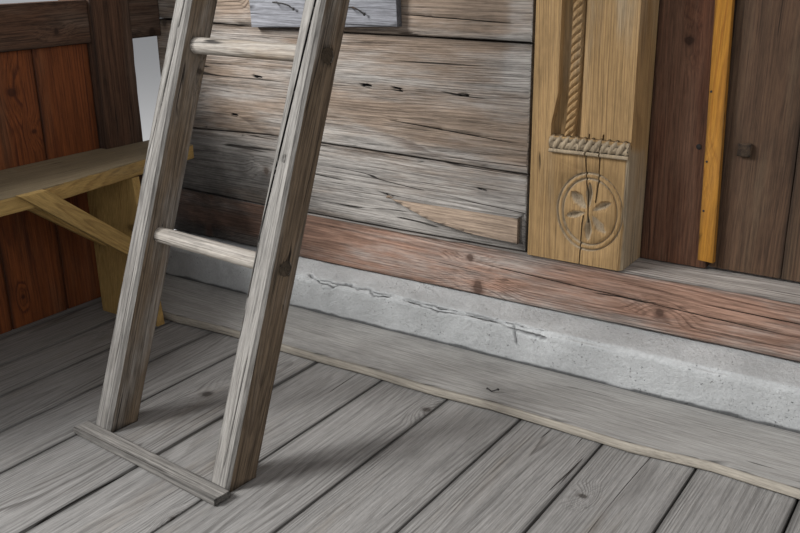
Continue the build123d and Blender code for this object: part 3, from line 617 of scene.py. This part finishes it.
def groove(part, start, finish, facing, width, depth, lines=CRACK_LINES):
    """Opens a crack along a line on one face: cut along, pressed in, with painted shade in it, closing at
    its ends.
    """
    run = (finish - start).normalized()
    across = run.cross(facing).normalized()
    low, high = start.dot(run), finish.dot(run)

    def beside(face):
        place = face.calc_center_median()
        return (face.normal.dot(facing) > 0.7 and low - PAST_CRACK <= place.dot(run) <= high + PAST_CRACK
                and abs((place - start).dot(across)) < BESIDE_CRACK)

    cuts = [(start + across * offset * width, across) for offset, sunk, painted_shade in lines]
    cuts += [(start.lerp(finish, k / 4), run) for k in range(5)]
    for place, away in cuts:
        faces = [f for f in part.faces if beside(f)]
        edges = list({e for f in faces for e in f.edges})
        verts = list({v for f in faces for v in f.verts})
        bmesh.ops.bisect_plane(part, geom=verts + edges + faces, dist=FINE_EXACT, plane_co=place,
                               plane_no=away)
    grime_and_shade = part.verts.layers.float["grime_and_shade"]
    touched = {v for f in part.faces if beside(f) for v in f.verts}
    for vert in touched:
        aside = (vert.co - start).dot(across)
        share = (vert.co.dot(run) - low) / (high - low)
        if not 0.0 < share < 1.0 or abs((vert.co - start).dot(facing)) > PAST_CRACK:
            continue
        closing = min(1.0, 4 * share, 4 * (1 - share))
        for offset, sunk, painted_shade in lines:
            if painted_shade and abs(aside - offset * width) < 0.00005:
                vert.co -= facing * depth * sunk * closing
                # Painted shade down the crack, fading where it closes
                vert[grime_and_shade] = max(vert[grime_and_shade], painted_shade * (closing if offset else closing ** 0.5))


def shown(name, body, parts, slot, made, sharp=50.0):
    """Puts the parts into the scene as one smooth-shaded piece with its finish, body and slot."""
    mesh = bpy.data.meshes.new(name)
    whole = bmesh.new()
    for part in parts:
        loose = bpy.data.meshes.new("part")
        part.to_mesh(loose)
        part.free()
        whole.from_mesh(loose)
        bpy.data.meshes.remove(loose)
    for face in whole.faces:
        face.smooth = True
    whole.to_mesh(mesh)
    whole.free()
    mesh.materials.append(made[slot])
    mesh.set_sharp_from_angle(angle=math.radians(sharp))
    shape = bpy.data.objects.new(name, mesh)
    bpy.context.scene.collection.objects.link(shape)
    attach(shape, body)
    return shape


def lengthen_end(part):
    """The saw cut at the wall's left end runs a little past the slot beside the parapet's post."""
    for vert in part.verts:
        if vert.co.x < SAWN_END:
            vert.co.x -= END_PAST


def on_left(part):
    return sum(v.co.x for v in part.verts) / len(part.verts) < 0.0


def shade_under_bench(part):
    """The logs get painted shade, dark nearly to black, in the corner under the bench."""
    grime_and_shade = part.verts.layers.float["grime_and_shade"]
    for vert in part.verts:
        across = unit((BENCH_SHADE_START - vert.co.x) / BENCH_SHADE_FULL)
        low = unit((BENCH_SHADE_TOP - vert.co.z) / BENCH_SHADE_EDGE)
        if vert.co.y < WALL_MIDDLE:
            vert[grime_and_shade] = max(vert[grime_and_shade], 0.97 * across * low)


def work_timber(name, along, arris, step, cross, wear, nicks, weathering, grime_and_shade_reach, damages):
    """The worn copies of a node's solids: finely cut on the photograph's side, coarser on the other."""
    parts = door_board_parts() if name == "door_boards" else pieces_of(joined(name))
    for k, part in enumerate(parts):
        coarse = 1 if on_left(part) else 2
        side, rise = cross_axes(along)
        rounded(part, arris)
        slice_up(part, along, coarse * step)
        slice_up(part, side, coarse * cross)
        slice_up(part, rise, coarse * cross)
        near_edge = mark(part, name, k, along, weathering, grime_and_shade_reach)
        if name in ("sill_log", "wall_logs_1", "wall_logs_2"):
            shade_under_bench(part)
        wear_down(part, near_edge, wear, nicks)
        if name == "sill_log":
            lengthen_end(part)
        for damage in damages:
            groove(part, *damage)
    return parts


# Weathering: how far each face has turned grey, from -1 on bare wood to 1 on silver wood
def ladder_weather(place, normal):
    return 0.85 if normal.y < -0.4 else 0.3 + 0.2 * max(0.0, -normal.x)


def sill_weather(place, normal):
    return 1.0 if normal.z > 0.6 else 0.36


def log_weather(place, normal):
    """Uneven grey, browner high on the left, and bare on the wedge left on the lowest log."""
    tan = 0.16 * (place.z > 0.95) * (place.x < -0.9)
    if place.y < -0.009 and normal.z < 0.5:
        return -1.0
    return 0.52 - tan + 0.3 * noise.noise(Vector((place.x * 1.3, 0, place.z * 4.0)))


def bench_weather(place, normal):
    return 0.95 if normal.z > 0.6 else 0.1


def board_weather(place, normal):
    """The worn front edge is bare."""
    return -1.0 if normal.y < -0.4 else 0.8


def carved_weather(place, normal):
    """Honey-coloured low down, greyer higher up, on the band and along the worn arris beside the door."""
    arris = abs(place.x) < DOOR_ARRIS + 0.004 and place.y < POST_FACE + 0.004
    band = BAND_LOW - 0.022 < place.z < CARVING_LOW and place.y < POST_FACE - 0.0005
    carved = CHIP_DEEP < place.y - POST_FACE < CARVING_DEEP and place.z < BAND_LOW
    high = unit((place.z - 0.88) / 0.25)
    return 0.15 + 0.2 * high + 0.75 * (arris or band or carved)


# Node, grain direction, size of the rounded arrises, steps along and across, wear, weathering
TIMBERS = [
    ("side_sills", ALONG_Y, 0.005, 0.10, 0.04, 0.002, 0.4),
    ("deck_joists", ALONG_X, 0.004, 0.15, 0.05, 0.001, 0.4),
    ("deck_planks_left", ALONG_Y, 0.0015, 0.03, 0.011, 0.0009, 0.75),
    ("deck_planks_middle", ALONG_Y, 0.0015, 0.03, 0.011, 0.0009, 0.75),
    ("deck_planks_right", ALONG_Y, 0.0015, 0.06, 0.025, 0.0009, 0.75),
    ("edge_planks", ALONG_Y, 0.0015, 0.05, 0.02, 0.0009, 0.7),
    ("deck_wall_board", ALONG_X, 0.005, 0.03, 0.012, 0.0012, board_weather),
    ("sill_log", ALONG_X, 0.005, 0.03, 0.010, 0.0045, sill_weather),
    ("wall_logs_1", ALONG_X, 0.004, 0.03, 0.010, 0.0035, log_weather),
    ("wall_logs_2", ALONG_X, 0.004, 0.03, 0.010, 0.0035, log_weather),
    ("wall_logs_3", ALONG_X, 0.004, 0.03, 0.010, 0.0035, log_weather),
    ("wall_logs_4", ALONG_X, 0.004, 0.06, 0.020, 0.0035, log_weather),
    ("wall_logs_5", ALONG_X, 0.004, 0.06, 0.020, 0.0035, log_weather),
    ("wall_logs_6", ALONG_X, 0.004, 0.06, 0.020, 0.0035, log_weather),
    ("wall_plate", ALONG_X, 0.006, 0.06, 0.025, 0.0035, log_weather),
    ("patch_board", ALONG_X, 0.0015, 0.03, 0.012, 0.0008, 0.9),
    ("portal_lintel", ALONG_X, 0.004, 0.04, 0.02, 0.0015, 0.35),
    ("inner_jambs", ALONG_Z, 0.002, 0.04, 0.014, 0.001, 0.55),
    ("door_boards", ALONG_Z, 0.002, 0.04, 0.014, 0.0012, 0.35),
    ("door_ledges", ALONG_X, 0.003, 0.06, 0.02, 0.001, 0.3),
    ("door_peg", ALONG_Y, 0.004, 0.004, 0.004, 0.0005, 0.5),
    ("door_cover_strip", ALONG_Z, 0.0015, 0.04, 0.01, 0.0005, 0.3),
    ("parapet_posts_left", ALONG_Z, 0.005, 0.05, 0.02, 0.003, 0.3),
    ("parapet_posts_right", ALONG_Z, 0.005, 0.10, 0.04, 0.003, 0.3),
    ("parapet_boards_left", ALONG_Z, 0.003, 0.04, 0.015, 0.001, 0.25),
    ("parapet_boards_right", ALONG_Z, 0.003, 0.08, 0.03, 0.001, 0.25),
    ("parapet_rails_left", ALONG_Y, 0.004, 0.05, 0.02, 0.002, 0.4),
    ("parapet_rails_right", ALONG_Y, 0.004, 0.10, 0.04, 0.002, 0.4),
    ("side_plates", ALONG_Y, 0.005, 0.10, 0.04, 0.003, 0.4),
    ("front_plate", ALONG_X, 0.005, 0.10, 0.04, 0.003, 0.4),
    ("bench_seat_left", ALONG_Y, 0.004, 0.03, 0.012, 0.001, bench_weather),
    ("bench_seat_right", ALONG_Y, 0.004, 0.06, 0.03, 0.001, bench_weather),
    ("bench_legs_left", ALONG_Z, 0.003, 0.04, 0.012, 0.001, 0.2),
    ("bench_legs_right", ALONG_Z, 0.003, 0.06, 0.03, 0.001, 0.2),
    ("bench_braces_left", BRACE_RUN, 0.002, 0.03, 0.01, 0.0008, 0.1),
    ("bench_braces_right", BRACE_RUN, 0.002, 0.06, 0.02, 0.0008, 0.1),
    ("ladder_stop", LADDER_X, 0.003, 0.012, 0.005, 0.001, 0.85),
]

# How far dirt and painted shade reach from the long edges, on the nodes where it isn't the usual reach
USUAL_GRIME_AND_SHADE_REACH = 0.005
GRIME_AND_SHADE_REACH = {
    "deck_planks_left": 0.0025, "deck_planks_middle": 0.0025, "deck_planks_right": 0.0025,
    "edge_planks": 0.0025, "deck_wall_board": 0.003, "patch_board": 0.002, "door_cover_strip": 0.002,
}


def in_wall(*cracks):
    """Cracks in the log wall's face: place and height over the floor at both ends, width, depth."""
    return [(Vector((x, 0, FLOOR + up)), Vector((to_x, 0, FLOOR + to_up)), WALL_FACE, width, depth)
            for x, up, to_x, to_up, width, depth in cracks]


# Cracks and gouges
DAMAGES = {
    "wall_logs_1": in_wall(
        (-0.99, 0.462, -0.955, 0.458, 0.006, 0.006),
        (-1.75, 0.44, -1.45, 0.425, 0.004, 0.008)),
    "wall_logs_2": in_wall(
        (-1.920, 0.593, -1.885, 0.59, 0.012, 0.012),
        (-1.388, 0.725, -1.342, 0.722, 0.013, 0.014),
        (-1.275, 0.722, -1.232, 0.718, 0.013, 0.013),
        (-1.055, 0.718, -1.015, 0.720, 0.010, 0.012),
        (-1.812, 0.725, -1.768, 0.721, 0.011, 0.013),
        (-1.30, 0.63, -0.86, 0.60, 0.003, 0.007)),
    "wall_logs_3": in_wall(
        (-1.25, 0.93, -0.88, 0.915, 0.003, 0.006)),
    "sill_log": in_wall(
        (-1.0, 0.24, -0.1, 0.205, 0.003, 0.006),
        (-0.35, 0.245, 0.25, 0.235, 0.003, 0.006)),
}

# The crack in the plinth's arris: place along the wall, and how far below (-) or behind the arris it runs
CRACK = [(-1.53, 0.03), (-1.47, -0.01), (-1.42, -0.02), (-1.365, 0.03), (-1.33, -0.004), (-1.29, 0.02),
         (-1.265, -0.02), (-1.2, 0.006), (-1.1, -0.008), (-1.04, -0.02), (-0.95, -0.004), (-0.84, -0.006),
         (-0.8, -0.022), (-0.7, -0.026)]


def slots():
    return {part["node"]: part["material_slot"] for part in frame["record"]["subparts"]}


def body_of(name):
    for body, members in frame["record"]["behaviour"]["bodies"].items():
        if name in members:
            return body


def dress_timbers(made, slot):
    """Every squared log, plank and board; the benches get no dirt or painted shade along their edges and are
    hardly nicked.
    """
    for name, along, arris, step, cross, wear, weathering in TIMBERS:
        nicks, grime_and_shade = 0.5 * arris + 0.001, GRIME_AND_SHADE_REACH.get(name, USUAL_GRIME_AND_SHADE_REACH)
        if name.startswith("bench"):
            nicks, grime_and_shade = 0.0008, 0.0
        parts = work_timber(name, along, arris, step, cross, wear, nicks, weathering, grime_and_shade,
                            DAMAGES.get(name, ()))
        shape = shown(name + "_worn", body_of(name), parts, slot[name], made)
        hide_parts(name)


def on_stile(x, z):
    """A place on the ladder's front faces: across the ladder, and its height above the ground."""
    up = z - FLOOR
    return LADDER_FOOT + LADDER_X * x + LADDER_X.cross(ALONG_Z) * -LADDER_SLOPE * up + ALONG_Z * up


def dress_ladder(made, slot):
    """Stiles with long cracks on their silver front faces, and round rungs worn by hands and feet."""
    facing = LADDER_X.cross(LADDER_LEAN).normalized()
    cracks = {
        "ladder_stile_right": (
            (on_stile(0.480, 1.45), on_stile(0.432, 0.66), facing, 0.0058, 0.012, SPLIT_LINES),
            (on_stile(0.4385, 0.72), on_stile(0.4345, 0.50), facing, 0.004, 0.008),
            (on_stile(0.463, 0.89), on_stile(0.463, 0.872), facing, 0.010, 0.012),
            (on_stile(0.47, 0.50), on_stile(0.464, 0.24), facing, 0.0025, 0.005),
        ),
        "ladder_stile_left": (
            (on_stile(0.054, 1.45), on_stile(0.026, 0.92), facing, 0.006, 0.010),
            (on_stile(0.03, 0.99), on_stile(0.010, 0.78), facing, 0.0025, 0.005),
            (on_stile(0.04, 0.62), on_stile(0.036, 0.3), facing, 0.002, 0.004),
        ),
    }
    for name, damages in cracks.items():
        parts = work_timber(name, LADDER_LEAN, 0.003, 0.03, 0.0085, 0.0018, 0.006, ladder_weather, 0.003,
                            damages)
        shape = shown(name + "_worn", "church_porch", parts, slot[name], made)
        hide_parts(name)
    parts = pieces_of(joined("ladder_rungs"))
    for k, part in enumerate(parts):
        slice_up(part, LADDER_X, 0.012)
        near_edge = mark(part, "ladder_rungs", k, LADDER_X, 0.6, 0.0)
        grime_and_shade = part.verts.layers.float["grime_and_shade"]
        weather = part.verts.layers.float["weather"]
        ends = [vert.co.dot(LADDER_X) for vert in part.verts]
        for vert, place in zip(part.verts, ends):
            sawn = min(place - min(ends), max(ends) - place) < 0.003
            vert[grime_and_shade] = 0.85 if sawn else 0.0
            if sawn:
                vert[weather] = -0.2
        wear_down(part, near_edge, 0.0009, 0.0)
    shape = shown("ladder_rungs_worn", "church_porch", parts, slot["ladder_rungs"], made)
    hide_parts("ladder_rungs")


def band_strands(name):
    """The strands of the carved rope over the base block, one leaning lozenge beside the other."""
    part = bmesh.new()
    for k in range(STRANDS + 1):
        place = Vector((BAND_START + (BAND_END - BAND_START) * k / STRANDS, POST_FACE, BAND_MIDDLE))
        turn = Matrix.Rotation(STRAND_LEAN, 4, "Y")
        size = Matrix.Diagonal(STRAND_SIZE).to_4x4()
        bmesh.ops.create_uvsphere(part, u_segments=14, v_segments=10, radius=1.0,
                                  matrix=Matrix.Translation(place) @ turn @ size)
    for x, away in ((BAND_START, -ALONG_X), (BAND_END, ALONG_X)):
        geom = part.verts[:] + part.edges[:] + part.faces[:]
        cut = bmesh.ops.bisect_plane(part, geom=geom, dist=FINE_EXACT, plane_co=ALONG_X * x,
                                     plane_no=away, clear_outer=True)["geom_cut"]
        bmesh.ops.holes_fill(part, edges=[e for e in cut if isinstance(e, bmesh.types.BMEdge)], sides=0)
    if name.endswith("right"):
        bmesh.ops.scale(part, vec=(-1, 1, 1), verts=part.verts)
        bmesh.ops.reverse_faces(part, faces=part.faces)
    near_edge = mark(part, name, 0, ALONG_Z, carved_weather, 0.0)
    grime_and_shade = part.verts.layers.float["grime_and_shade"]
    # Painted shade between the strands, darker the deeper they lie
    for vert in part.verts:
        sunk = vert.co.y - POST_FACE + STRAND_SIZE.y
        vert[grime_and_shade] = unit((sunk - 0.004) / 0.007)
    wear_down(part, near_edge, 0.0004, 0.0)
    return part


def dress_posts(made, slot):
    """The carved posts keep their carving; painted shade lies in its hollows."""
    for name in ("portal_post_left", "portal_post_right"):
        part = joined(name)
        rounded(part, 0.003, 60.0, 0.15)
        slice_up(part, ALONG_Z, 0.05)
        way = -1 if name.endswith("left") else 1
        cut_across(part, ALONG_X * way * (DOOR_ARRIS + BESIDE_ARRIS), ALONG_X)
        cut_across(part, ALONG_Y * (POST_FACE + BESIDE_ARRIS), ALONG_Y)
        near_edge = mark(part, name, 0, ALONG_Z, carved_weather, 0.0)
        grime_and_shade = part.verts.layers.float["grime_and_shade"]
        # Painted shade in the carving's hollows: the deeper a vertex is sunk, the darker
        for vert in part.verts:
            sunk = vert.co.y - POST_FACE
            if vert.co.z > CARVING_LOW:
                dirt_and_shade = (sunk - 0.014) / 0.05
            elif vert.co.z > BAND_LOW:
                dirt_and_shade = (sunk + 0.0085) / 0.008
            else:
                dirt_and_shade = (sunk - 0.012) / 0.02
                away = Vector((abs(vert.co.x) + ROSE.x, 0, vert.co.z - ROSE.z)).length
                if 0.0 < sunk < CARVING_DEEP and away < 1.4 * ROSE_REACH:
                    vert.co.y += sunk * 0.4
            carved = sunk < CARVING_DEEP and abs(vert.co.x) > DOOR_ARRIS - 0.001
            vert[grime_and_shade] = unit(dirt_and_shade) if carved else 0.0
        wear_down(part, near_edge, 0.0005, 0.001)
        shape = shown(name + "_worn", "church_porch", [part], slot[name], made, 20.0)
        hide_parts(name)
        shown(name + "_band", "church_porch", [band_strands(name)], slot[name], made, 60.0)


def along_path(path, x):
    """The height of a bent line at x."""
    for (x0, h0), (x1, h1) in zip(path[:-1], path[1:]):
        if x0 <= x <= x1:
            return h0 + (h1 - h0) * (x - x0) / (x1 - x0)
    return None


def cut_plinth():
    """The plinth's solid, cut finely, and finest along the broken stretch of its arris."""
    part = joined("masonry_plinth")
    rounded(part, 0.005, 20.0)
    slice_up(part, ALONG_X, 0.016)
    cuts = [(ALONG_Z, FLOOR + 0.01 * k) for k in range(15)]
    cuts += [(ALONG_Y, -0.125 + 0.01 * k) for k in range(13)]
    cuts += [(ALONG_Z, FLOOR + 0.0245 + 0.0035 * k) for k in range(6)]
    for axis, place in cuts:
        cut_across(part, axis * place, axis)

    def broken(place):
        return BROKEN_START < place.x < BROKEN_END and place.z > FLOOR + 0.085 and place.y < -0.06

    edges = {e for f in part.faces if broken(f.calc_center_median()) for e in f.edges}
    bmesh.ops.subdivide_edges(part, edges=list(edges), cuts=3, use_grid_fill=True)
    return part


def arris_cracks(place, over):
    """The cracks over the arris at a place: their depth, the flaked depth between them, the painted shade in
    them.
    """
    x = place.x
    track = along_path(CRACK, x)
    if track is None or place.z <= FLOOR + 0.08:
        return 0.0, 0.0, 0.0
    cleft, painted_shade = 0.0, 0.0
    track += 0.007 * noise.fractal(Vector((x * 40.0, 0.0, 1.0)), 1.0, 2.0, 4)
    second = 0.3 * track + 0.012 + 0.012 * noise.fractal(Vector((x * 22.0, 5.0, 1.0)), 1.0, 2.0, 4)
    for line, size in ((track, 1.0), (second, 0.6)):
        strong = unit(0.75 + 1.6 * noise.noise(Vector((x * 14.0, size, 4.0)))) * size
        near = strong * math.exp(-((over - line) / 0.0042) ** 2)
        cleft, painted_shade = max(cleft, 0.010 * near), max(painted_shade, 1.2 * near)
    between_cracks = min(track, 0.0) < over < max(track, second)
    flaked = 0.0045 * between_cracks * (1 + noise.noise(place * 30.0))
    upright = math.exp(-((x - SHORT_CRACK + 0.2 * (over + 0.01)) / 0.003) ** 2) * (-0.06 < over < 0.0)
    return max(cleft, 0.006 * upright), flaked, max(painted_shade, upright)


def plinth_wear(place):
    """How much render is lost at a place, and how dark it is there: painted shade in the cracks, and darker
    along the foot.
    """
    x, y, z = place
    over = (y - PLINTH_FRONT) - (PLINTH_TOP - z)
    rough = 0.0022 * (1 + noise.fractal(place * 9.0, 1.0, 2.0, 4)) if z > FLOOR else 0.0
    worn = max(0.0, noise.fractal(Vector((x * 6.0, 3.0, 0.0)), 1.0, 2.0, 3) + 0.25) * 0.007
    worn *= math.exp(-abs(over) / 0.012)
    cleft, flaked, painted_shade = arris_cracks(place, over)
    gap = FLOOR + 0.033 + 0.007 * noise.fractal(Vector((x * 11.0, 0.0, 7.0)), 1.0, 2.0, 3)
    foot = unit((gap - z) / 0.004) * (y < -0.1)
    return max(0.0, rough) + (worn + flaked) + cleft, min(1.15, painted_shade + foot)


def dress_plinth(made, slot):
    """Rendered masonry: uneven faces, and a broken arris with a crack that winds over it."""
    part = cut_plinth()
    grime_and_shade = part.verts.layers.float.new("grime_and_shade")
    part.normal_update()
    moves = []
    for vert in part.verts:
        loss, vert[grime_and_shade] = plinth_wear(vert.co)
        moves.append((vert, loss))
    for vert, loss in moves:
        vert.co -= vert.normal * loss
    lengthen_end(part)
    shape = shown("masonry_plinth_worn", "church_porch", [part], slot["masonry_plinth"], made)
    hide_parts("masonry_plinth")


def nail(name, points, thick, made):
    """A bent nail: a round section drawn out from place to place, with a flat head at its end."""
    part = bmesh.new()
    start = Vector(points[0])
    way = (Vector(points[1]) - start).normalized()
    turn = way.to_track_quat("Z", "Y").to_matrix().to_4x4()
    ring = bmesh.ops.create_circle(part, cap_ends=True, radius=thick, segments=8,
                                   matrix=Matrix.Translation(start) @ turn)["verts"]
    face = list({f for v in ring for f in v.link_faces})[0]
    here = start
    widths = [1.0] * (len(points) - 1) + [2.0, 1.0]
    steps = [Vector(p) for p in points[1:]] + [Vector(points[-1]), Vector(points[-1]) + way * thick * 1.2]
    for there, width, before in zip(steps, widths, [1.0] + widths):
        top = bmesh.ops.extrude_discrete_faces(part, faces=[face])["faces"]
        face = top[0]
        bmesh.ops.translate(part, verts=face.verts, vec=there - here)
        middle = Matrix.Translation(there)
        size = Matrix.Diagonal((width / before,) * 3).to_4x4()
        bmesh.ops.transform(part, matrix=middle @ size @ middle.inverted(), verts=face.verts)
        here = there
    bmesh.ops.holes_fill(part, edges=[e for e in part.edges if e.is_boundary], sides=0)
    bmesh.ops.recalc_face_normals(part, faces=part.faces)
    shown(name, "church_porch", [part], "iron", made)


def dress_nails(made):
    """Two bent nails in the patch board and one on the loose wall board."""
    nail("bent_nail_1", [(-1.668, -0.017, 1.150), (-1.667, -0.045, 1.1515), (-1.632, -0.043, 1.149),
                         (-1.612, -0.038, 1.1435), (-1.597, -0.034, 1.133)], 0.0024, made)
    nail("bent_nail_2", [(-1.386, -0.017, 1.140), (-1.385, -0.045, 1.1425), (-1.368, -0.045, 1.1435),
                         (-1.352, -0.038, 1.1350), (-1.338, -0.034, 1.1245)], 0.0024, made)
    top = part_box("deck_wall_board")[1][2]
    nail("bent_nail_3", [(-0.772, -0.318, top - 0.004), (-0.770, -0.320, top + 0.003),
                         (-0.752, -0.331, top + 0.003), (-0.738, -0.322, top + 0.008)], 0.002, made)


def nail_heads(made):
    """Three heads in the fresh strip and a broad one in the jamb board beside it."""
    strip_low, strip_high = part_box("door_cover_strip")
    middle = (strip_low[0] + strip_high[0]) / 2
    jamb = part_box("inner_jambs")[0][1]
    spots = [(middle - 0.006, strip_low[1], 0.956, 0.003), (middle, strip_low[1], 0.781, 0.003),
             (middle + 0.004, strip_low[1], 0.653, 0.003), (-0.414, jamb, 0.812, 0.0075)]
    part = bmesh.new()
    for x, y, z, radius in spots:
        flat = Matrix.Diagonal((1.0, 0.35, 1.0, 1.0))
        bmesh.ops.create_uvsphere(part, u_segments=12, v_segments=8, radius=radius,
                                  matrix=Matrix.Translation((x, y, z)) @ flat)
    for vert in part.verts:
        vert.co += vert.normal * 0.0006 * noise.noise(vert.co * 400.0)
    shown("nail_heads", "church_porch", [part], "iron", made)


def dress_iron(made):
    for name in ("door_straps", "hinge_pintles"):
        shape = frame["nodes"][name]
        shape.data.materials.clear()
        shape.data.materials.append(made["iron"])


def stage():
    world = bpy.data.worlds.new("world")
    bpy.context.scene.world = world
    world.use_nodes = True
    sky = world.node_tree.nodes["Background"].inputs
    sky["Color"].default_value = (0.93, 0.95, 1.0, 1.0)
    sky["Strength"].default_value = 0.38
    bpy.ops.mesh.primitive_plane_add(size=40.0)
    floor = bpy.context.object
    floor.name = "floor"
    pale = bpy.data.materials.new("pale_floor")
    pale.use_nodes = True
    matt = pale.node_tree.nodes["Principled BSDF"].inputs
    matt["Base Color"].default_value = (0.58, 0.575, 0.565, 1.0)
    matt["Roughness"].default_value = 0.9
    floor.data.materials.append(pale)
    # A soft key lamp from the left front, and a weak one from the right against black shadows
    area_lamp("key", (-4.4, -4.0, 4.0), (-0.8, 0.0, 0.7), 2.2, 620.0)
    area_lamp("fill", (3.5, -3.5, 3.0), (-0.8, -0.3, 0.5), 4.0, 80.0)
    bpy.context.scene.view_settings.view_transform = "Standard"


set_camera()
stage()
finish_made = finishes()
slot_of = slots()
dress_timbers(finish_made, slot_of)
dress_ladder(finish_made, slot_of)
dress_posts(finish_made, slot_of)
dress_plinth(finish_made, slot_of)
dress_iron(finish_made)
dress_nails(finish_made)
nail_heads(finish_made)
